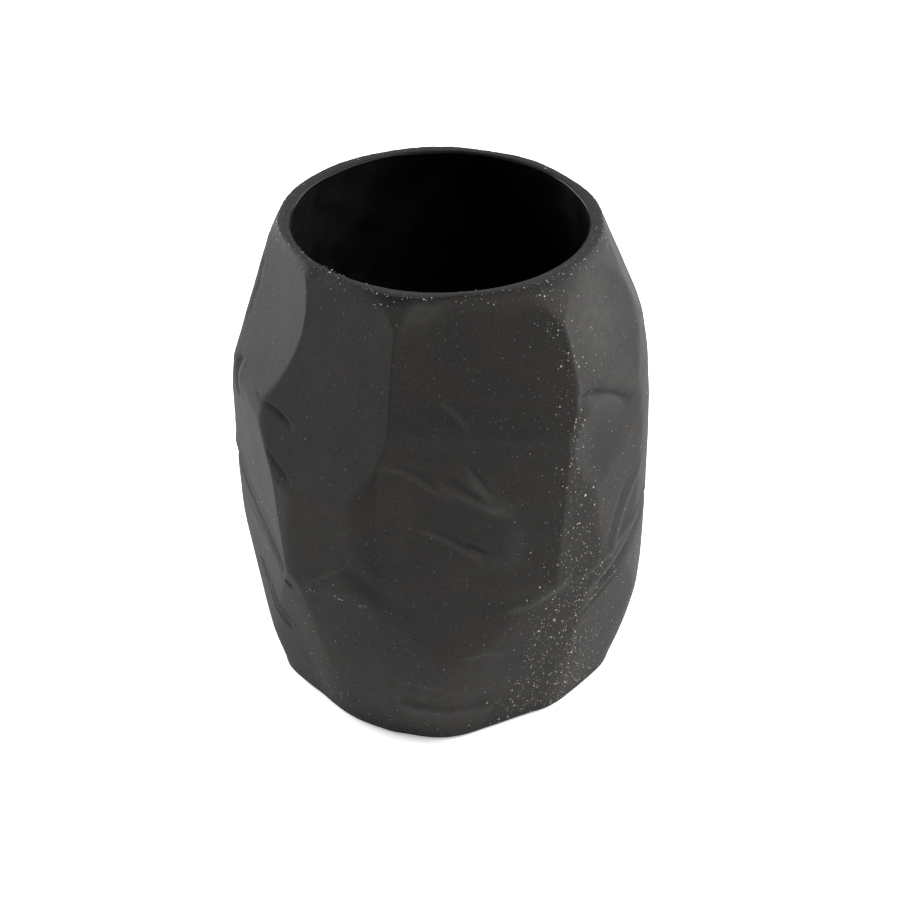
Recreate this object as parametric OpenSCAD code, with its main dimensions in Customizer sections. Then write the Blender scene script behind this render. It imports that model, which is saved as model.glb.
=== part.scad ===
// Empty candle jar: a hand-carved, faceted stoneware vessel with a glazed inside.
// The origin is the centre of the flat base. +Z runs up through the mouth.
// -Y is the front.

/* [Vessel] */
// Height from the base to the rim
height = 110; // [100:1:120]
// Inner diameter of the mouth
mouth_d = 62; // [56:1:63]
// Largest diameter of the clay form, before the facets are carved
belly_d = 90.4; // [88:0.2:96]
// Diameter of the clay form at the rim, before the facets are carved
rim_d = 67.6; // [67:0.2:74]
// Diameter of the clay form at the base, before the facets are carved
base_d = 77; // [75:1:84]

/* [Inside] */
// Largest inner diameter of the clay wall
hollow_d = 70; // [66:1:73]
// Inner diameter where the wall runs into the floor
hollow_floor_d = 52; // [40:1:56]
// Thickness of the clay floor
floor_t = 7; // [5:0.5:10]

/* [Glaze] */
// Thickness of the glaze coat
glaze_t = 0.4; // [0.2:0.1:0.8]
// Bare clay left between the glaze and the top of the rim
glaze_gap = 0.5; // [0.5:0.5:5]

/* [Colours] */
// Colour of the bare fired clay
clay_colour = "#3a3838"; // ["#3a3838", "#5b5450", "#8a7f76"]
// Colour of the glaze
glaze_colour = "#0b0b0d"; // ["#0b0b0d", "#23262b", "#e8e4da"]

/* [Hidden] */
$fn = 96;

// Each facet is [azimuth, reach, lean]. Azimuth is in degrees from the front
// towards +X, reach is the distance from the axis at the row's own height, and
// lean tips the facet's face upwards (+) or downwards (-).
shoulder_z = height - 15;
shoulder_facets = [
    [-98, 38.6, 16], [-66, 37.6, 16], [-40, 36.8, 16.5], [12, 36.4, 14], [58, 39, 17.5],
    [94, 39.6, 23], [126, 37, 17], [162, 37.4, 18], [-162, 37.9, 18], [-130, 38, 18],
];
belly_z = height / 2 + 5;
belly_facets = [
    [-102, 44.2, 3], [-72, 42.8, -3], [-34, 44.4, 0], [10, 40.4, 2], [58, 44.1, 3],
    [90, 44.8, 0], [126, 43, 2], [164, 42, 1], [-160, 43.6, 0], [-128, 42.6, 2],
];
foot_z = 20;
foot_facets = [
    [-88, 40.9, -15], [-50, 39, -15], [-30, 39.3, -13], [-12, 40, -13.5], [26, 38.2, -14],
    [51, 40.1, -14], [68, 43.5, -13], [98, 45, -7], [130, 41.5, -12], [166, 40.5, -14],
    [-156, 40.8, -12], [-124, 40, -14],
];

// All facets as [row height, azimuth, reach, lean]
facets = [
    for (facet = shoulder_facets) [shoulder_z, each facet],
    for (facet = belly_facets) [belly_z, each facet],
    for (facet = foot_facets) [foot_z, each facet],
];

// Heights of the widest rings outside and inside
widest_z = height * 0.45;
hollow_widest_z = height * 0.5;
// Higher powers stay full for longer and then turn in more sharply
shoulder_power = 3;
foot_power = 4;
hollow_power = 2.6;
hollow_floor_power = 3;
// Height of one ring of the turned outlines
form_ring_h = 10;
hollow_ring_h = 5;
// Side of the block behind a facet, large enough to hold the whole vessel
block = height * 4;
// How far a cut runs past the face that it opens
overrun = 1;

// Radius of a turned form at height z: widest at z_mid, and end_r at z_end
function turned_r(z, z_mid, wide_r, z_end, end_r, power) =
    let (
        end_part = pow(1 - pow(end_r / wide_r, power), 1 / power),
        part = end_part * abs(z - z_mid) / abs(z_end - z_mid)
    )
    wide_r * pow(1 - pow(part, power), 1 / power);

// Radius of the clay form before it is carved
function form_r(z) =
    z > widest_z
        ? turned_r(z, widest_z, belly_d / 2, height, rim_d / 2, shoulder_power)
        : turned_r(z, widest_z, belly_d / 2, 0, base_d / 2, foot_power);

// Inner radius of the clay wall
function hollow_r(z) =
    z > hollow_widest_z
        ? turned_r(z, hollow_widest_z, hollow_d / 2, height, mouth_d / 2, hollow_power)
        : turned_r(z, hollow_widest_z, hollow_d / 2, floor_t, hollow_floor_d / 2, hollow_floor_power);

// Heights of the rings from one end to the other, with both ends kept
function rings(from, to, ring_h) =
    let (count = ceil((to - from) / ring_h))
    [for (i = [0:count]) from + (to - from) * i / count];

// The solid clay form as it was thrown
module clay_form() {
    rotate_extrude()
        polygon([
            [0, 0],
            for (z = rings(0, height, form_ring_h)) [form_r(z), z],
            [0, height],
        ]);
}

// The space inside the clay wall, drawn in by inset, up to the height top
module hollow(inset, top) {
    rotate_extrude()
        polygon([
            [0, floor_t + inset],
            for (z = rings(floor_t, height, hollow_ring_h))
                if (z < top) [hollow_r(z) - inset, max(z, floor_t + inset)],
            [hollow_r(min(top, height)) - inset, top],
            [0, top],
        ]);
}

// The clay that one facet leaves: a block on the axis side of its flat face
module kept_block(row_z, azimuth, reach, lean) {
    translate([0, 0, row_z])
        rotate([0, 0, azimuth])
            translate([0, -reach, 0])
                rotate([-lean, 0, 0])
                    translate([-block / 2, 0, -block / 2])
                        cube(block);
}

// The clay form after every facet has been sliced off it, one at a time
module carved_form() {
    intersection_for (i = [-1:len(facets) - 1])
        if (i < 0) clay_form();
        else kept_block(facets[i][0], facets[i][1], facets[i][2], facets[i][3]);
}

module stoneware_body() {
    color(clay_colour)
        difference() {
            carved_form();
            hollow(0, height + overrun);
        }
}

module glaze_lining() {
    glaze_top = height - glaze_gap;
    color(glaze_colour)
        difference() {
            hollow(0, glaze_top);
            hollow(glaze_t, glaze_top + overrun);
        }
}

stoneware_body();
glaze_lining();
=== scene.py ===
"""The looks of an empty, hand-carved stoneware candle jar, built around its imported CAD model."""

import math
import random

import bpy
import numpy as np
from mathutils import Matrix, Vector, noise
from mathutils.bvhtree import BVHTree


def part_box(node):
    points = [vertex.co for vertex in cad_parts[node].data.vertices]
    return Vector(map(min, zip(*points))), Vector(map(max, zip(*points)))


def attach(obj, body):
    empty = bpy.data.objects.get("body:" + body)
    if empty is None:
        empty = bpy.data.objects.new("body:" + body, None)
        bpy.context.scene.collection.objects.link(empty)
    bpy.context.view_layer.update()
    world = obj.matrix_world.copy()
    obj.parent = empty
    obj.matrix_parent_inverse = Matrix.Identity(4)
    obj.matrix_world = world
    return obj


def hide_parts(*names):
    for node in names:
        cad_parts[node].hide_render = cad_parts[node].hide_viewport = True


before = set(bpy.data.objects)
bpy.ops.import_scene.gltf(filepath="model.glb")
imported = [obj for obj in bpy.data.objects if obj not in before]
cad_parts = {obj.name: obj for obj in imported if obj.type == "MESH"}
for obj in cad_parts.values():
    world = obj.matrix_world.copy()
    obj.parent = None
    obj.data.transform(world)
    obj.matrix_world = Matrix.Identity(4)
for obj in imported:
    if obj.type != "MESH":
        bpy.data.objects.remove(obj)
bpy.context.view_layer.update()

MM = 0.001
BODY = "stoneware_body"
LINING = "glaze_lining"
low, high = (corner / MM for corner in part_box(BODY))
HEIGHT = high.z - low.z
PERCENT = HEIGHT / 100
# Farther than any point of the vessel, for rays through it and for cuts that miss it
FAR = 2 * HEIGHT
# How far the CAD walls are measured from the level faces at their ends, in mm
END_MARGIN = 0.05


# ---------------------------------------------------------------- the carved surface

# Columns of the mesh: finer on the front, where the camera looks most closely, and finer
# still within a few degrees of its crisp upright ridges
FRONT_HALF_ANGLE = 110
FRONT_COLUMNS = 276
BACK_COLUMNS = 104
CRISP_RIDGES = [-51, -15, 36]
CRISP_HALF_WIDTH = 4
CRISP_GAIN = 3
CRISP_SAMPLES = 2201
WALL_ROWS = 221
LIP_ROWS = 9
INNER_ROWS = 12
BASE_ROWS = 3

# Height of the lip in mm, its roundness outside and inside, and how far down the wall gives
# way to it
LIP_RISE = 0.7
LIP_OUTER_POWER = 2.8
LIP_INNER_POWER = 5
LIP_DEPTH = 12
# The lip is darkened with painted shade, against the light that falls on its top: it is as dark as
# a hollow this deep, in mm
LIP_SHADE = -0.25
# Radius of the worn edge of the base, in mm
BASE_WEAR = 0.5
# The rim was rubbed round after the carving: its radius in mm, how fast that limit widens
# below it, and how many mm down the facets stay soft
RIM_RADIUS = 33.2
RIM_FLARE = 1.2
RIM_SOFT = 4

# How far the wall is smoothed, as (rows, columns): a crisp ridge, a worn one, the rim, and
# the wall that ridges and hollows are measured from
CRISP_BLUR = (0.7, 0.5)
WORN_BLUR = (5, 5)
RIM_BLUR = (4, 6)
MEAN_BLUR = (4, 3)
# Wear is 0 where a ridge is crisp and 1 where it is worn: its middle, and its unevenness
WEAR_MIDDLE = 0.1
WEAR_NOISE = (0.5, 14, 3, 1)
# Unevenness of the wall and of the lip. Each layer is (amount, size mm, seed, upright stretch).
WALL_NOISE = [(0.14, 15, 11, 1), (0.04, 5, 23, 1), (0.02, 1.6, 37, 1), (0.02, 1.8, 61, 8)]
LIP_NOISE = [(0.12, 9, 51, 1), (0.08, 1.3, 57, 1)]

# Cuts made after the main facets, as [azimuth, height %, reach mm, lean, scoop]. Scoop
# hollows the face: it is how far the face comes out again at SCOOP_SPAN mm above and below
# its row. A cut takes nothing off where the cosine of the turn from its middle is below
# CUT_EDGE.
SCOOP_SPAN = 10
CUT_EDGE = 0.2
LATE_CUTS = [
    [-66, 89, 34.1, 14, 1.0],
    [-40, 86.4, 35.5, 14.5, 0.1],
    [12, 86.4, 35.5, 14, 0.3],
    [58, 86.4, 38.6, 17.5, 0.0],
    [-70, 54, 42.2, -3, 0.0],
    [54, 64, 43.0, 8, 1.2],
    [37, 55, 44.4, 0, 0.0],
]

# Where handling wore the ridges soft (below 0 they stayed crisp), and where pale clay dust
# stayed. Each spot is [azimuth, height %, half width in degrees, half height %, amount].
SOFT_SPOTS = [
    [0, 0, 400, 26, 1.0],
    [-14, 36, 14, 22, 0.9],
    [38, 70, 12, 40, 0.2],
    [-15, 78, 8, 20, -1.2],
    [5, 75, 30, 7, -0.9],
    [38, 90, 10, 8, -0.4],
    [76, 84, 10, 16, -0.7],
    [-52, 56, 7, 14, -0.6],
    [58, 66, 14, 12, -0.6],
]
DUSTY_SPOTS = [
    [-7, 98.5, 8, 2.5, 1.3],
    [20, 98, 14, 2, 0.4],
    [12, 63, 4, 2.5, 0.5],
    [17, 58.5, 5, 2, 0.7],
    [22, 50, 4, 6, 0.5],
    [15, 46, 5, 1.5, 0.4],
    [29, 38, 9, 2, 0.5],
    [60, 76, 8, 2, 0.3],
    [-34, 38, 10, 2, 0.2],
    [38, 50, 9, 60, 0.25],
    [58, 90, 13, 9, 0.75],
    [-68, 86, 10, 10, 0.2],
    [-8, 9, 20, 6, 0.6],
    [72, 28, 12, 9, 0.4],
]

# Spots where the clay is made darker, or paler if below 0, in the same form, as mm of hollow. The
# pale spot under the rim is painted light over the shade of the ridge there.
TONE_SPOTS_AND_PAINTED_LIGHT = [
    [-22, 30, 15, 13, 0.2],
    [-8, 56, 14, 18, 0.14],
    [50, 62, 8, 9, 0.16],
    [-66, 62, 12, 20, 0.12],
    # painted light: pales the shade on the ridge just under the rim
    [-15, 95, 6, 4, -0.2],
]

# Unevenness of the dust: its middle, and its noise layer
DUST_MIDDLE = 0.5
DUST_NOISE = (0.4, 2, 101, 1)
# How pale the crest of a welt is, as a share of the dust's colour: chalk, partly a painted
# highlight
WELT_CHALK_AND_HIGHLIGHT = 0.35

# A mark fades in and out over these shares of its path, and reaches this many widths
FADE_IN = 0.15
FADE_OUT = 0.25
MARK_REACH = 6
# A gouge throws up a burr on its left: its height as a share of the gouge's depth, and its
# distance in widths
BURR_HEIGHT = 0.25
BURR_PLACE = 0.9
# How steeply a step rises, the limit of its exponent, and how many widths it takes to die away
STEP_STEEPNESS = 8
STEP_LIMIT = 30
STEP_FADE = 1.6

# Tool marks. A gouge is cut in, a welt stands out and has a chalky pale crest that is partly a
# painted highlight, a crest is a sharp fold, in below 0 and otherwise out, and a step leaves the
# clay on its left side proud.
# Each row is (kind, width mm, depth or height mm, path), and a path is a list of (azimuth in
# degrees from the front, height in %).
MARKS = [
    # left side: two knife slips, the slits at the edge and the long cuts below them
    ("gouge", 2.2, 0.12, [(-60, 71.5), (-55, 71), (-50, 70.5)]),
    ("gouge", 0.8, 0.7, [(-65, 72), (-58, 71.5), (-53, 71), (-47, 69.5)]),
    ("gouge", 0.7, 0.45, [(-56, 64), (-51, 62), (-47, 60.5), (-44, 59)]),
    ("gouge", 2.4, 0.9, [(-80, 74), (-80, 70), (-79, 65)]),
    ("gouge", 0.7, 0.5, [(-90, 93), (-89, 88), (-88, 83), (-87, 79)]),
    ("gouge", 2.4, 1.3, [(-98, 50), (-90, 46), (-83, 43), (-71, 41), (-57, 40), (-47, 38)]),
    ("gouge", 0.7, 0.9, [(-49, 35), (-46, 34)]),
    ("step", 3.0, 0.5, [(-50, 37), (-60, 38.5), (-73, 38), (-86, 38)]),
    ("gouge", 2.0, 0.9, [(-76, 28), (-68, 24), (-64, 21.5), (-56, 18)]),
    ("step", 3.0, 0.4, [(-56, 19.5), (-62, 23), (-66, 26.5)]),
    # front: a fold of dragged clay in three strands and the fold under it
    ("welt", 0.9, 0.35, [(-16, 70), (-11, 68.5), (-6, 66), (-2, 63.5), (4, 61)]),
    ("gouge", 0.7, 0.2, [(-12, 70), (-8, 68.5), (-4, 66), (0, 64)]),
    ("welt", 1.2, 0.35, [(-2, 65.5), (3, 63), (9, 60.5), (15, 58), (22, 56)]),
    ("gouge", 1.3, 0.25, [(2, 66.5), (6, 64), (9, 62), (12, 61)]),
    ("welt", 1.2, 0.3, [(7, 68.5), (9.5, 65), (12, 62.5), (16, 59)]),
    ("gouge", 0.8, 0.3, [(8, 69), (10, 66.5), (13, 64), (15, 61.5)]),
    ("welt", 0.9, 0.28, [(-7, 56), (0, 53), (5, 50.5), (9, 48.5), (13, 46)]),
    ("gouge", 0.7, 0.2, [(-3, 55.5), (3, 53), (8, 50)]),
    ("gouge", 0.8, 0.35, [(7, 51.5), (10, 50), (14, 48.5)]),
    ("welt", 0.8, 0.3, [(8, 50), (10, 49), (12, 48)]),
    ("welt", 0.8, 0.12, [(0, 81), (5, 78), (9, 74.5)]),
    ("crest", 1.2, 0.25, [(-13, 76.5), (0, 75), (12, 73.5), (23, 72), (34, 70)]),
    ("gouge", 5.0, 0.3, [(-27, 46), (-19, 42), (-9, 35)]),
    ("welt", 0.6, 0.25, [(-40, 37.5), (-32, 42), (-24, 47)]),
    # foot: the ledge over the base and the panel beside it
    ("step", 3.0, 0.9, [(19, 7.5), (6, 9.5), (-3, 10), (-14, 11)]),
    ("step", 2.5, 0.25, [(-14, 17), (0, 16), (12, 12)]),
    ("step", 2.5, 0.25, [(11, 25), (12, 12)]),
    ("welt", 1.2, 0.2, [(6, 24.5), (13, 25), (20, 23)]),
    ("welt", 2.2, 0.4, [(18, 34.5), (25, 35.5), (31, 37.5), (38, 40.5)]),
    # right side: the crest over the small scooped face, its lower border and the long welt
    ("crest", 1.1, -1.0, [(40, 78.5), (45, 78), (51, 76.5), (58, 74), (66, 70)]),
    ("welt", 1.4, 0.3, [(52, 39), (56, 43), (60, 47), (66, 51), (74, 55)]),
    ("gouge", 2.0, 0.2, [(50, 42), (54, 46), (59, 50.5), (64, 54)]),
    ("welt", 1.4, 0.4, [(38, 38.5), (48, 40), (58, 41.5), (68, 43), (80, 45)]),
    ("gouge", 3.0, 0.6, [(46, 33), (55, 36), (64, 38.5), (74, 40.5), (84, 42.5)]),
    ("gouge", 1.6, 0.3, [(42, 27), (52, 31), (60, 34)]),
]


def column_azimuths():
    """Azimuths of the mesh's columns, in degrees from the front towards +X."""
    even = np.linspace(-FRONT_HALF_ANGLE, FRONT_HALF_ANGLE, CRISP_SAMPLES)
    density = np.ones(even.shape)
    for ridge in CRISP_RIDGES:
        density += CRISP_GAIN * np.exp(-(((even - ridge) / CRISP_HALF_WIDTH) ** 2))
    share = np.cumsum(density) - density[0]
    wanted = np.linspace(0, share[-1], FRONT_COLUMNS, endpoint=False)
    front = np.interp(wanted, share, even)
    back = np.linspace(FRONT_HALF_ANGLE, 360 - FRONT_HALF_ANGLE, BACK_COLUMNS, endpoint=False)
    return np.concatenate([front, back])


def outward(azimuth):
    """The level direction away from the axis at an azimuth."""
    angle = math.radians(azimuth)
    return Vector((math.sin(angle), -math.cos(angle), 0))


def cad_radii(node, azimuths, heights, from_outside):
    """Distance from the axis to a CAD node's wall, one row for each height, in mm."""
    tree = BVHTree.FromPolygons(
        [v.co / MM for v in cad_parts[node].data.vertices],
        [p.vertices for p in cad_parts[node].data.polygons],
    )
    radii = np.zeros((len(heights), len(azimuths)))
    for i, z in enumerate(heights):
        for j, azimuth in enumerate(azimuths):
            out = outward(azimuth)
            start = Vector((0, 0, z)) + (out * HEIGHT if from_outside else Vector())
            hit = tree.ray_cast(start, -out if from_outside else out, FAR)[0]
            radii[i, j] = hit.xy.length
    return radii


def wrapped(degrees):
    """The same angle, from -180 to 180 degrees."""
    return (degrees + 180) % 360 - 180


def cut_radius(cut, azimuths, heights):
    """Distance from the axis to the face of one late cut, in mm."""
    azimuth, percent, reach, lean, scoop = cut
    turn = np.radians(wrapped(azimuths - azimuth))
    above = heights - percent * PERCENT
    face = reach - above * math.tan(math.radians(lean)) + scoop * (above / SCOOP_SPAN) ** 2
    return np.where(np.cos(turn) > CUT_EDGE, face / np.maximum(np.cos(turn), CUT_EDGE), FAR)


def blurred(grid, rows, columns):
    """The grid smoothed by a bell curve of that many rows and columns. Columns wrap round."""
    def bell(sigma):
        reach = int(math.ceil(3 * sigma))
        weights = np.exp(-0.5 * (np.arange(-reach, reach + 1) / sigma) ** 2)
        return reach, weights / weights.sum()

    reach, weights = bell(columns)
    around = sum(w * np.roll(grid, k, axis=1) for k, w in zip(range(-reach, reach + 1), weights))
    reach, weights = bell(rows)
    padded = np.pad(around, ((reach, reach), (0, 0)), mode="edge")
    return sum(w * padded[k:k + len(grid)] for k, w in enumerate(weights))


def spotted(spots, azimuths, heights):
    """The sum of soft round spots at each point."""
    total = np.zeros(azimuths.shape)
    for azimuth, percent, half_width, half_height, amount in spots:
        across = wrapped(azimuths - azimuth) / half_width
        up = (heights / PERCENT - percent) / half_height
        total += amount * np.exp(-(across ** 2) - up ** 2)
    return total


def noise_grid(layer, radii, azimuths, heights):
    """One layer of smooth noise over the surface, from -amount to amount."""
    amount, size, seed, stretch = layer
    out = np.zeros(radii.shape)
    for i, z in enumerate(heights[:, 0]):
        for j, azimuth in enumerate(azimuths[0]):
            place = outward(azimuth) * radii[i, j]
            place.z = z / stretch
            out[i, j] = noise.noise(place / size + Vector((seed, 0, 0)))
    return amount * out


def path_distance(path, radii, azimuths, heights):
    """Distance in mm from each point to a path, its signed side and its place from 0 to 1."""
    nearest = np.full(radii.shape, np.inf)
    side = np.zeros(radii.shape)
    along = np.zeros(radii.shape)
    legs = len(path) - 1
    for k in range(legs):
        (a0, p0), (a1, p1) = path[k], path[k + 1]
        scale = np.radians(1) * radii
        du, dv = (a1 - a0) * scale, (p1 - p0) * PERCENT
        u, v = wrapped(azimuths - a0) * scale, heights - p0 * PERCENT
        length = np.hypot(du, dv)
        t = np.clip((u * du + v * dv) / length ** 2, 0, 1)
        distance = np.hypot(u - t * du, v - t * dv)
        closer = distance < nearest
        nearest = np.where(closer, distance, nearest)
        side = np.where(closer, (du * v - dv * u) / length, side)
        along = np.where(closer, (k + t) / legs, along)
    return nearest, side, along


def mark_relief(mark, radii, azimuths, heights):
    """How far one tool mark moves the surface outwards, in mm."""
    kind, width, size, path = mark
    distance, side, along = path_distance(path, radii, azimuths, heights)
    fade = np.clip(along / FADE_IN, 0, 1) * np.clip((1 - along) / FADE_OUT, 0, 1)
    fade = np.where(distance < MARK_REACH * width, np.sqrt(fade), 0)
    half = 0.5 * width
    if kind == "gouge":
        cut = np.exp(-((distance / half) ** 2))
        burr = np.exp(-(((side - BURR_PLACE * width) / half) ** 2))
        return size * fade * (BURR_HEIGHT * burr - cut)
    if kind == "welt":
        return size * fade * np.exp(-((distance / half) ** 2))
    if kind == "crest":
        return size * fade * np.exp(-distance / width)
    rise = 1 / (1 + np.exp(-np.clip(side * STEP_STEEPNESS / width, -STEP_LIMIT, STEP_LIMIT)))
    return size * fade * rise * np.exp(-np.maximum(side, 0) / (STEP_FADE * width))


def carved_wall():
    """Grids of the outer wall: azimuths, heights, radii, how far it stands out (for the painted
    shade in hollows and painted light on crests), and chalk that is partly a painted highlight.
    """
    azimuths = column_azimuths()
    heights = np.linspace(0, HEIGHT, WALL_ROWS)
    inside = np.clip(heights, END_MARGIN, HEIGHT - END_MARGIN)
    sharp = cad_radii(BODY, azimuths, inside, True)
    azimuths, heights = np.meshgrid(azimuths, heights)
    for cut in LATE_CUTS:
        sharp = np.minimum(sharp, cut_radius(cut, azimuths, heights))
    below_rim = HEIGHT - heights
    sharp = np.minimum(sharp, RIM_RADIUS + RIM_FLARE * below_rim)
    crisp, worn = blurred(sharp, *CRISP_BLUR), blurred(sharp, *WORN_BLUR)
    wear = WEAR_MIDDLE + noise_grid(WEAR_NOISE, sharp, azimuths, heights)
    wear = np.clip(wear + spotted(SOFT_SPOTS, azimuths, heights), 0, 1)
    radii = crisp + (worn - crisp) * wear
    near_rim = np.clip(1 - below_rim / RIM_SOFT, 0, 1)
    radii += (blurred(sharp, *RIM_BLUR) - radii) * near_rim ** 2 * (3 - 2 * near_rim)
    for layer in WALL_NOISE:
        radii += noise_grid(layer, sharp, azimuths, heights)
    chalk_and_highlight = np.zeros(radii.shape)
    for mark in MARKS:
        relief = mark_relief(mark, sharp, azimuths, heights)
        radii += relief
        kind, _, size, _ = mark
        # a welt's crest turns chalky pale, partly a painted highlight
        if kind == "welt":
            chalk_and_highlight = np.maximum(chalk_and_highlight, WELT_CHALK_AND_HIGHLIGHT * relief / size)
    # How far the wall stands out from its mean, less the tone spots: this paints shade into the
    # hollows and light onto the crests
    ridge = radii - blurred(radii, *MEAN_BLUR) - spotted(TONE_SPOTS_AND_PAINTED_LIGHT, azimuths, heights)
    edge = np.clip(1 - heights / BASE_WEAR, 0, 1)
    radii -= BASE_WEAR * (1 - np.sqrt(1 - edge ** 2))
    return azimuths, heights, radii, ridge, chalk_and_highlight


def closed_profile(azimuths, heights, radii):
    """Adds the lip, the inner wall and the base to the outer wall: rows of radius and height."""
    row = azimuths[:1]
    inner_top = cad_radii(BODY, row[0], [HEIGHT - END_MARGIN], False)
    wave = sum(noise_grid(n, inner_top, row, np.full((1, 1), HEIGHT)) for n in LIP_NOISE)
    outer_top = radii[-1:]
    inner_top = inner_top + wave
    middle, half = (outer_top + inner_top) / 2, (outer_top - inner_top) / 2
    turn = np.linspace(0, math.pi, LIP_ROWS)[1:, None]
    power = np.where(np.cos(turn) > 0, LIP_OUTER_POWER, LIP_INNER_POWER)
    across = np.sign(np.cos(turn)) * np.abs(np.cos(turn)) ** (2 / power)
    up = np.sin(turn) ** (2 / power)
    # the top of the wall is drawn down so that the lip rises back to the rim
    drop = np.clip((heights - (HEIGHT - LIP_DEPTH)) / LIP_DEPTH, 0, 1)
    wall_z = heights + drop * (wave - LIP_RISE)
    lip_r, lip_z = middle + half * across, HEIGHT + wave + LIP_RISE * (up - 1)
    floor_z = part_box(LINING)[0].z / MM
    inner_z = np.linspace(HEIGHT - LIP_RISE, floor_z, INNER_ROWS + 1)[1:]
    inner_r = cad_radii(BODY, row[0], np.clip(inner_z, floor_z + END_MARGIN, HEIGHT), False)
    inner_z = np.repeat(inner_z[:, None], row.shape[1], axis=1)
    shrink = np.linspace(1, 0, BASE_ROWS + 2)[1:-1, None]
    base_r = radii[:1] * shrink[::-1]
    base_z = np.zeros(base_r.shape)
    all_r = np.vstack([base_r, radii, lip_r, inner_r])
    all_z = np.vstack([base_z, wall_z, lip_z, inner_z])
    return all_r, all_z, floor_z


def shell_mesh(name, azimuths, radii, heights, ends):
    """A closed mesh of rings. ends are the heights of the centres that close its two ends."""
    rows, columns = radii.shape
    angle = np.radians(azimuths)
    points = np.stack([radii * np.sin(angle), -radii * np.cos(angle), heights], axis=-1)
    vertices = np.vstack([points.reshape(-1, 3), [[0, 0, z] for z in ends]])
    index = np.arange(rows * columns).reshape(rows, columns)
    following = np.roll(index, -1, axis=1)
    quads = np.stack([index[:-1], following[:-1], following[1:], index[1:]], axis=-1)
    faces = quads.reshape(-1, 4).tolist()
    first, last = rows * columns, rows * columns + 1
    faces += [(first, b, a) for a, b in zip(index[0], following[0])]
    faces += [(last, a, b) for a, b in zip(index[-1], following[-1])]
    mesh = bpy.data.meshes.new(name)
    mesh.from_pydata((vertices * MM).tolist(), [], faces)
    mesh.shade_smooth()
    piece = bpy.data.objects.new(name, mesh)
    bpy.context.scene.collection.objects.link(piece)
    return piece


def store(piece, name, values):
    """Keeps one number for each vertex, for the material to read."""
    layer = piece.data.attributes.new(name, "FLOAT", "POINT")
    layer.data.foreach_set("value", np.asarray(values, dtype=np.float32).ravel())


def store_on_wall(piece, name, wall, lip):
    """Keeps a grid of numbers on the outer wall, one number on the lip, and 0 elsewhere."""
    values = np.zeros(len(piece.data.vertices))
    columns = wall.shape[1]
    wall_start = BASE_ROWS * columns
    lip_start = wall_start + wall.size
    values[wall_start:lip_start] = wall.ravel()
    values[lip_start:lip_start + (LIP_ROWS - 1) * columns] = lip
    store(piece, name, values)


# ---------------------------------------------------------------- grains of grog

GRAIN_SEED = 20
GRAIN_TRIES = 30000
# The band of grains runs down the right ridge. It bends to the left and widens towards the
# foot: by these degrees, and by the first and fourth power of the way down.
BAND_AZIMUTH = 41
BAND_BEND = 3
BAND_WIDTH = 5
BAND_WIDENING = 5
BAND_FLARE = 12
# How thick the grains are: at the top of the band and more by its foot, in the veil to its
# right, under the rim, in a band on the back, everywhere, and more everywhere by the foot
BAND_TOP = 0.9
BAND_GAIN = 0.4
VEIL = 0.10
VEIL_SHIFT = 8
VEIL_WIDTH = 22
RIM_SHARE = 0.6
RIM_PERCENT = 2.0
BACK_SHARE = 0.4
BACK_AZIMUTH = -150
BACK_WIDTH = 14
BASE_SHARE = 0.014
FOOT_SHARE = 0.12
# Grains gather in clumps: how much, and the clumps' size in degrees and mm
CLUMPING = 0.8
CLUMP_DEGREES = 5
CLUMP_HEIGHT = 4
CLUMP_SEED = 7
# Radius of a grain in mm: the least, the spread, and the added spread in the thick of them
GRAIN_LEAST = 0.07
GRAIN_SPREAD = 0.08
GRAIN_CROWD_SPREAD = 0.14
# How deep a grain's centre lies in the clay, as a share of its radius
GRAIN_SINK = 0.35
# Grains on the rim: how many, their radius, and how far inside the outer edge they lie in mm
RIM_GRAINS = 1100
RIM_GRAIN_LEAST = 0.06
RIM_GRAIN_SPREAD = 0.11
RIM_GRAIN_RINGS = (0.3, 1.5)
# Grains in each chalky scratch
SCRATCH_GRAINS = 12
# Scratches that crumbled to chalk, as (azimuth, height %) at both ends
CHALK_SCRATCHES = [
    ((-39.5, 37.2), (-36, 36.6)),
    ((-39.5, 35.5), (-38, 37.2)),
    ((-30, 37.8), (-26.5, 36.9)),
    ((-23, 37.3), (-20, 37.8)),
]


def grain_density(azimuth, percent):
    """How thickly pale grains show. Above 1, every try is kept."""
    lower = 1 - percent / 100
    centre = BAND_AZIMUTH - BAND_BEND * lower ** 2
    spread = BAND_WIDTH + BAND_WIDENING * lower + BAND_FLARE * lower ** 4
    band = math.exp(-(wrapped(azimuth - centre) / spread) ** 2) * (BAND_TOP + BAND_GAIN * lower)
    veil = VEIL * math.exp(-(wrapped(azimuth - centre - VEIL_SHIFT) / VEIL_WIDTH) ** 2)
    rim = RIM_SHARE * math.exp(-((100 - percent) / RIM_PERCENT) ** 2)
    back = BACK_SHARE * math.exp(-(wrapped(azimuth - BACK_AZIMUTH) / BACK_WIDTH) ** 2)
    return BASE_SHARE + FOOT_SHARE * lower ** 3 + band + veil + rim + back


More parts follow.
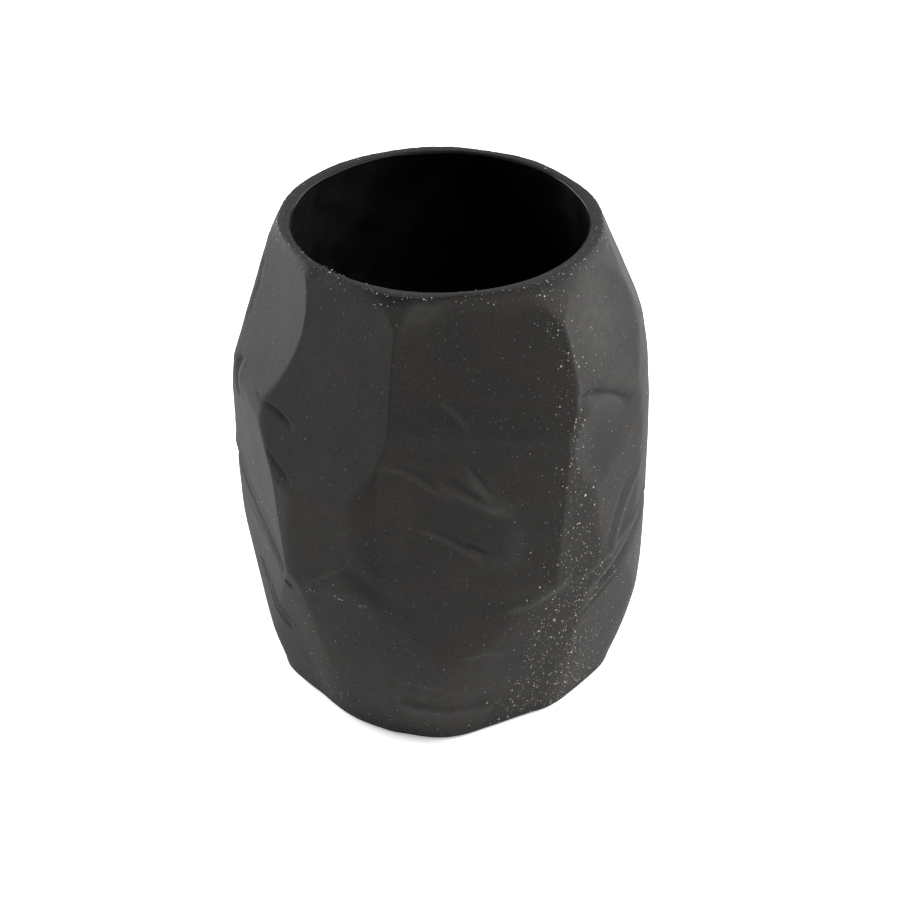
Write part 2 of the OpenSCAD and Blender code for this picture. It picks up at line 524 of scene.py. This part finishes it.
def grain_points(azimuths, heights, radii):
    """Seeded places for the grains: azimuth, distance from the axis, height and size."""
    draw = random.Random(GRAIN_SEED)

    def on_wall(azimuth, z):
        j = int(np.searchsorted(azimuths[0], azimuth)) % radii.shape[1]
        i = int(round(z / HEIGHT * (len(radii) - 1)))
        return azimuth, radii[i, j], heights[i, j]

    def any_azimuth():
        return draw.uniform(-FRONT_HALF_ANGLE, 360 - FRONT_HALF_ANGLE)

    places = []
    for _ in range(GRAIN_TRIES):
        azimuth, z = any_azimuth(), draw.uniform(1, HEIGHT - 0.5)
        keep, luck = draw.random(), draw.random()
        clump = noise.noise(Vector((azimuth / CLUMP_DEGREES, z / CLUMP_HEIGHT, CLUMP_SEED)))
        density = grain_density(azimuth, z / PERCENT) * (1 + CLUMPING * clump)
        if keep < density:
            spread = GRAIN_SPREAD + GRAIN_CROWD_SPREAD * min(density, 1)
            places.append((*on_wall(azimuth, z), GRAIN_LEAST + spread * luck ** 3))
    for _ in range(RIM_GRAINS):
        azimuth, z = any_azimuth(), HEIGHT - draw.uniform(0.1, 0.5)
        _, outer, _ = on_wall(azimuth, z)
        r = outer - draw.choice(RIM_GRAIN_RINGS) + draw.uniform(-0.3, 0.3)
        size = RIM_GRAIN_LEAST + RIM_GRAIN_SPREAD * draw.random() ** 4
        places.append((azimuth, r, z + 0.1, size))
    for (a0, p0), (a1, p1) in CHALK_SCRATCHES:
        for _ in range(SCRATCH_GRAINS):
            t = draw.random()
            azimuth, z = a0 + (a1 - a0) * t, (p0 + (p1 - p0) * t) * PERCENT
            place = on_wall(azimuth, z + draw.uniform(-0.25, 0.25))
            places.append((*place, draw.uniform(0.08, 0.2)))
    return places


def grains(azimuths, heights, radii):
    """Tiny uneven lumps that stand a little out of the clay."""
    draw = random.Random(GRAIN_SEED + 1)
    # the corners and sides of an icosahedron
    golden = (1 + math.sqrt(5)) / 2
    corners = [Vector(c).normalized() for c in (
        (-1, golden, 0), (1, golden, 0), (-1, -golden, 0), (1, -golden, 0),
        (0, -1, golden), (0, 1, golden), (0, -1, -golden), (0, 1, -golden),
        (golden, 0, -1), (golden, 0, 1), (-golden, 0, -1), (-golden, 0, 1))]
    sides = [
        (0, 11, 5), (0, 5, 1), (0, 1, 7), (0, 7, 10), (0, 10, 11),
        (1, 5, 9), (5, 11, 4), (11, 10, 2), (10, 7, 6), (7, 1, 8),
        (3, 9, 4), (3, 4, 2), (3, 2, 6), (3, 6, 8), (3, 8, 9),
        (4, 9, 5), (2, 4, 11), (6, 2, 10), (8, 6, 7), (9, 8, 1),
    ]
    vertices, faces, tints = [], [], []
    for azimuth, r, z, size in grain_points(azimuths, heights, radii):
        first = len(vertices)
        centre = outward(azimuth) * (r - GRAIN_SINK * size) + Vector((0, 0, z))
        tint = draw.random()
        stretch = Vector((draw.uniform(0.7, 1.3), draw.uniform(0.7, 1.3), draw.uniform(0.7, 1.3)))
        for corner in corners:
            bump = draw.uniform(0.8, 1.15) * size
            vertices.append((centre + corner * stretch * bump) * MM)
            tints.append(tint)
        faces += [tuple(first + k for k in side) for side in sides]
    mesh = bpy.data.meshes.new("grog_grains")
    mesh.from_pydata(vertices, [], faces)
    piece = bpy.data.objects.new("grog_grains", mesh)
    bpy.context.scene.collection.objects.link(piece)
    store(piece, "tint", tints)
    return piece


# ---------------------------------------------------------------- the glaze

GLAZE_ROWS = 120
GLAZE_COLUMNS = 240
GLAZE_THICKNESS = 0.4
# Height of the rounded edge at the top of the glaze, in mm
GLAZE_EDGE = 0.15
GLAZE_BLUR = (1.5, 1.5)
# Unevenness of the glaze, and of its top line, which dies away this many mm further down
GLAZE_NOISE = [(0.10, 12, 71, 1), (0.05, 4, 83, 1)]
GLAZE_LINE_NOISE = (0.3, 7, 95, 1)
GLAZE_LINE_DEPTH = 6


def glaze_lining():
    """The poured glaze: a gently uneven skin that ends in a wavy line."""
    azimuths = np.linspace(-180, 180, GLAZE_COLUMNS, endpoint=False)
    bottom, top = (corner.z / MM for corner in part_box(LINING))
    floor_top = bottom + GLAZE_THICKNESS
    inner_z = np.append(top, np.linspace(top - GLAZE_EDGE, floor_top, GLAZE_ROWS))
    safe = np.clip(inner_z, floor_top + END_MARGIN, top - END_MARGIN)
    inner = blurred(cad_radii(LINING, azimuths, safe, False), *GLAZE_BLUR)
    grid_a, grid_z = np.meshgrid(azimuths, inner_z)
    ripple = sum(noise_grid(n, inner, grid_a, grid_z) for n in GLAZE_NOISE)
    edge = noise_grid(GLAZE_LINE_NOISE, inner[:1], grid_a[:1], np.full((1, 1), top))
    grid_z = grid_z + edge * np.clip((grid_z - (top - GLAZE_LINE_DEPTH)) / GLAZE_LINE_DEPTH, 0, 1)
    inner = inner + ripple
    outer_z = grid_z[::-1].copy()
    outer_z[0] = bottom
    outer = inner[::-1] + GLAZE_THICKNESS
    rows_r = np.vstack([outer, inner])
    rows_z = np.vstack([outer_z, grid_z])
    return shell_mesh("glaze_skin", grid_a[:1], rows_r, rows_z, (bottom, floor_top))


# ---------------------------------------------------------------- materials

# Colours are linear red, green and blue. Noise scales are per metre.
# The bare clay: its mottle, its dust, which also carries the painted highlight on the welts, and
# its pale specks
MOTTLE_SCALE = 60
MOTTLE_DARK = (0.0178, 0.0165, 0.0154)
MOTTLE_LIGHT = (0.0224, 0.0201, 0.0180)
DUST_AND_HIGHLIGHT_COLOUR = (0.049, 0.047, 0.044, 1)
SPECK_SCALE = 900.0
SPECK_COLOUR = (0.07, 0.065, 0.06, 1)
# Share of the cells that hold no speck
SPECK_RARITY = 0.9
# Fine unevenness of the clay's tone
TONE_SCALE = 2600
TONE_LEAST = 0.80
TONE_MOST = 1.20
# Painted light and shade from the relief: where the clay stands out it turns paler, partly chalk
# and partly painted light on the crests, and where it is hollow (below 0) it gets painted shade,
# near black. Each is (from mm, to mm, strength, colour)
RELIEF_LIGHT_AND_SHADE = [
    (0.08, 0.5, 0.12, (0.075, 0.071, 0.067)),
    (-0.06, -0.45, 0.7, (0.005, 0.0047, 0.0047)),
]
CLAY_ROUGHNESS = 0.82
CLAY_SPECULAR = 0.2
# Bumps of the clay, as (noise scale, detail, strength, depth in m), coarse ones first
CLAY_BUMPS = [(800, 4, 0.15, 0.0004), (3000, 3, 0.25, 0.0001)]

GLAZE_SCALE = 120.0
GLAZE_DARK = (0.003, 0.003, 0.0035)
GLAZE_LIGHT = (0.010, 0.009, 0.010)
GLAZE_ROUGHNESS = 0.3
GLAZE_SPECULAR = 0.2
GLAZE_BUMP = 0.25
GLAZE_BUMP_DEPTH = 0.0002

# The grains run from grey through cream to a few orange ones
GRAIN_TONES = [
    (0, (0.09, 0.084, 0.073)),
    (0.5, (0.19, 0.172, 0.14)),
    (0.90, (0.46, 0.42, 0.35)),
    (0.96, (0.34, 0.17, 0.11)),
]
GRAIN_ROUGHNESS = 0.7


def new_material(name):
    """A material, its nodes and links, and its shader."""
    material = bpy.data.materials.new(name)
    material.use_nodes = True
    nodes, links = material.node_tree.nodes, material.node_tree.links
    return material, nodes, links, nodes["Principled BSDF"]


def add(nodes, kind, **settings):
    """A new node. Each setting is one of its properties or, if not, one of its inputs."""
    node = nodes.new(kind)
    for key, value in settings.items():
        if hasattr(node, key):
            setattr(node, key, value)
        else:
            node.inputs[key].default_value = value
    return node


def ramp(nodes, stops):
    """A colour ramp through stops of (place, colour)."""
    node = nodes.new("ShaderNodeValToRGB")
    elements = node.color_ramp.elements
    while len(elements) < len(stops):
        elements.new(0.5)
    for element, (place, colour) in zip(elements, stops):
        element.position = place
        element.color = (*colour, 1)
    return node


def mix_colour(nodes, links, factor, first, second, blend="MIX"):
    """A mix of two colours. The factor and the colours are values or outputs of nodes."""
    node = nodes.new("ShaderNodeMix")
    node.data_type = "RGBA"
    node.blend_type = blend
    # the colour sockets share their names with other sockets, so they go by number
    sockets = node.inputs["Factor"], node.inputs[6], node.inputs[7]
    for socket, value in zip(sockets, (factor, first, second)):
        if hasattr(value, "is_output"):
            links.new(value, socket)
        else:
            socket.default_value = value
    return node.outputs[2]


def clay_material():
    """Dark unglazed stoneware: mottled charcoal with painted shade in its hollows and on its lip,
    painted light on its crests, dust, chalk on the welts that is partly a painted highlight, and
    specks.
    """
    material, nodes, links, shader = new_material("bare_clay")
    spot = add(nodes, "ShaderNodeTexCoord").outputs["Object"]

    def noise_node(scale, detail, **more):
        node = add(nodes, "ShaderNodeTexNoise", Scale=scale, Detail=detail, **more)
        links.new(spot, node.inputs["Vector"])
        return node.outputs["Fac"]

    mottle = ramp(nodes, [(0.35, MOTTLE_DARK), (0.7, MOTTLE_LIGHT)])
    links.new(noise_node(MOTTLE_SCALE, 6, Roughness=0.6), mottle.inputs["Fac"])
    tone = ramp(nodes, [(0.35, (TONE_LEAST,) * 3), (0.65, (TONE_MOST,) * 3)])
    links.new(noise_node(TONE_SCALE, 2), tone.inputs["Fac"])
    toned = mottle.outputs["Color"], tone.outputs["Color"]
    colour = mix_colour(nodes, links, 1.0, *toned, "MULTIPLY")

    # Dust, and the welts' chalky crests, which are partly a painted highlight
    dust_and_highlight = add(nodes, "ShaderNodeAttribute", attribute_name="dust_and_highlight")
    colour = mix_colour(nodes, links, dust_and_highlight.outputs["Fac"], colour, DUST_AND_HIGHLIGHT_COLOUR)

    # Painted shade in the hollows and on the lip, and painted light on the crests, both from how
    # far the clay stands out
    ridge = add(nodes, "ShaderNodeAttribute", attribute_name="ridge")
    for least, most, strength, shade in RELIEF_LIGHT_AND_SHADE:
        share = add(nodes, "ShaderNodeMapRange")
        share.inputs["From Min"].default_value = least
        share.inputs["From Max"].default_value = most
        share.inputs["To Max"].default_value = strength
        links.new(ridge.outputs["Fac"], share.inputs["Value"])
        colour = mix_colour(nodes, links, share.outputs["Result"], colour, (*shade, 1))

    cells = add(nodes, "ShaderNodeTexVoronoi", Scale=SPECK_SCALE)
    links.new(spot, cells.inputs["Vector"])
    speck = ramp(nodes, [(0.10, (1, 1, 1)), (0.16, (0, 0, 0))])
    links.new(cells.outputs["Distance"], speck.inputs["Fac"])
    split = add(nodes, "ShaderNodeSeparateColor")
    links.new(cells.outputs["Color"], split.inputs["Color"])
    chosen = add(nodes, "ShaderNodeMath", operation="GREATER_THAN")
    links.new(split.outputs["Red"], chosen.inputs[0])
    chosen.inputs[1].default_value = SPECK_RARITY
    shown = add(nodes, "ShaderNodeMath", operation="MULTIPLY")
    links.new(speck.outputs["Color"], shown.inputs[0])
    links.new(chosen.outputs["Value"], shown.inputs[1])
    colour = mix_colour(nodes, links, shown.outputs["Value"], colour, SPECK_COLOUR)
    links.new(colour, shader.inputs["Base Color"])

    shader.inputs["Roughness"].default_value = CLAY_ROUGHNESS
    shader.inputs["Specular IOR Level"].default_value = CLAY_SPECULAR
    normal = None
    for scale, detail, strength, depth in CLAY_BUMPS:
        bump = add(nodes, "ShaderNodeBump", Strength=strength, Distance=depth)
        links.new(noise_node(scale, detail), bump.inputs["Height"])
        if normal is not None:
            links.new(normal, bump.inputs["Normal"])
        normal = bump.outputs["Normal"]
    links.new(normal, shader.inputs["Normal"])
    return material


def glaze_material():
    """Black gloss glaze with a faint orange peel."""
    material, nodes, links, shader = new_material("black_glaze")
    place = add(nodes, "ShaderNodeTexCoord")
    tone = add(nodes, "ShaderNodeTexNoise", Scale=GLAZE_SCALE, Detail=4.0)
    links.new(place.outputs["Object"], tone.inputs["Vector"])
    shade = ramp(nodes, [(0.35, GLAZE_DARK), (0.75, GLAZE_LIGHT)])
    links.new(tone.outputs["Fac"], shade.inputs["Fac"])
    links.new(shade.outputs["Color"], shader.inputs["Base Color"])
    shader.inputs["Roughness"].default_value = GLAZE_ROUGHNESS
    shader.inputs["Specular IOR Level"].default_value = GLAZE_SPECULAR
    peel = add(nodes, "ShaderNodeBump", Strength=GLAZE_BUMP, Distance=GLAZE_BUMP_DEPTH)
    links.new(tone.outputs["Fac"], peel.inputs["Height"])
    links.new(peel.outputs["Normal"], shader.inputs["Normal"])
    return material


def grain_material():
    """Fired grog: cream, grey and now and then orange."""
    material, nodes, links, shader = new_material("grog")
    tint = add(nodes, "ShaderNodeAttribute", attribute_name="tint")
    tones = ramp(nodes, GRAIN_TONES)
    links.new(tint.outputs["Fac"], tones.inputs["Fac"])
    links.new(tones.outputs["Color"], shader.inputs["Base Color"])
    shader.inputs["Roughness"].default_value = GRAIN_ROUGHNESS
    return material


# ---------------------------------------------------------------- the pieces

azimuths, heights, radii, ridge, chalk_and_highlight = carved_wall()
shell_r, shell_z, floor_z = closed_profile(azimuths, heights, radii)
clay = shell_mesh("carved_clay", azimuths[:1], shell_r, shell_z, (0, floor_z))
dust_noise = DUST_MIDDLE + noise_grid(DUST_NOISE, radii, azimuths, heights)
# Dust spots, and the welts' chalky crests, which are partly a painted highlight
dust_and_highlight = np.clip(chalk_and_highlight + spotted(DUSTY_SPOTS, azimuths, heights) * dust_noise, 0, 1)
# ridge paints shade into the hollows and light onto the crests, and LIP_SHADE gives the lip
# painted shade
store_on_wall(clay, "ridge", ridge, LIP_SHADE)
store_on_wall(clay, "dust_and_highlight", dust_and_highlight, 0)
clay.data.materials.append(clay_material())
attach(clay, "root")
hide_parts(BODY)

skin = glaze_lining()
skin.data.materials.append(glaze_material())
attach(skin, "root")
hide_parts(LINING)

wall_z = shell_z[BASE_ROWS:BASE_ROWS + len(heights)]
specks = grains(azimuths, wall_z, radii)
specks.data.materials.append(grain_material())
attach(specks, "root")


# ---------------------------------------------------------------- the studio

# Size of the floor and its drop below the vessel's foot, in m
FLOOR_SIZE = 8.0
FLOOR_DROP = 0.0002
FLOOR_COLOUR = (0.9, 0.9, 0.9, 1)
FLOOR_ROUGHNESS = 0.9
# The table is lit from below, so that it stays white up to the vessel's foot
FLOOR_GLOW = 0.45
WORLD_GLOW = 0.0
LIGHT_COLOUR = (0.96, 0.98, 1.0)
# Each light is (name, azimuth, elevation, distance m, size m, power W)
LIGHTS = [
    ("left_softbox", -120, 20, 0.8, 0.6, 15),
    ("right_softbox", 120, 20, 0.8, 0.6, 10.5),
    ("right_high_softbox", 80, 50, 0.8, 0.6, 9),
]
WHITE = (1, 1, 1, 1)
# The camera looks down by these degrees. Its distance, and the height and side of the point
# that it aims at, are in heights of the vessel.
CAMERA_ELEVATION = 33.8
CAMERA_DISTANCE = 4.403
CAMERA_AIM = 0.4764
CAMERA_SIDE = 0.0182
CAMERA_LENS = 88
CAMERA_SENSOR = 36


def floor():
    level = low.z * MM - FLOOR_DROP
    bpy.ops.mesh.primitive_plane_add(size=FLOOR_SIZE, location=(0, 0, level))
    plane = bpy.context.object
    plane.name = "studio_floor"
    material, _, _, shader = new_material("floor_white")
    shader.inputs["Base Color"].default_value = FLOOR_COLOUR
    shader.inputs["Roughness"].default_value = FLOOR_ROUGHNESS
    shader.inputs["Emission Color"].default_value = WHITE
    shader.inputs["Emission Strength"].default_value = FLOOR_GLOW
    plane.data.materials.append(material)


def area_light(name, azimuth, elevation, distance, size, power):
    """A soft square light that faces the vessel's middle."""
    data = bpy.data.lights.new(name, "AREA")
    data.shape = "SQUARE"
    data.size = size
    data.energy = power
    data.color = LIGHT_COLOUR
    light = bpy.data.objects.new(name, data)
    bpy.context.scene.collection.objects.link(light)
    flat = outward(azimuth) * math.cos(math.radians(elevation))
    direction = Vector((flat.x, flat.y, math.sin(math.radians(elevation))))
    middle = Vector((0, 0, HEIGHT * MM / 2))
    light.location = middle + direction * distance
    light.rotation_euler = direction.to_track_quat("Z", "Y").to_euler()


def studio_light():
    world = bpy.data.worlds.new("studio")
    world.use_nodes = True
    background = world.node_tree.nodes["Background"]
    background.inputs["Color"].default_value = WHITE
    background.inputs["Strength"].default_value = WORLD_GLOW
    bpy.context.scene.world = world
    for light in LIGHTS:
        area_light(*light)


def camera():
    data = bpy.data.cameras.new("camera")
    data.lens = CAMERA_LENS
    data.sensor_width = CAMERA_SENSOR
    piece = bpy.data.objects.new("camera", data)
    bpy.context.scene.collection.objects.link(piece)
    tall = HEIGHT * MM
    aim = Vector((CAMERA_SIDE * tall, 0, CAMERA_AIM * tall))
    angle = math.radians(CAMERA_ELEVATION)
    piece.location = aim + Vector((0, -math.cos(angle), math.sin(angle))) * CAMERA_DISTANCE * tall
    piece.rotation_euler = (math.pi / 2 - angle, 0, 0)
    bpy.context.scene.camera = piece


floor()
studio_light()
camera()
bpy.context.scene.view_settings.view_transform = "Standard"
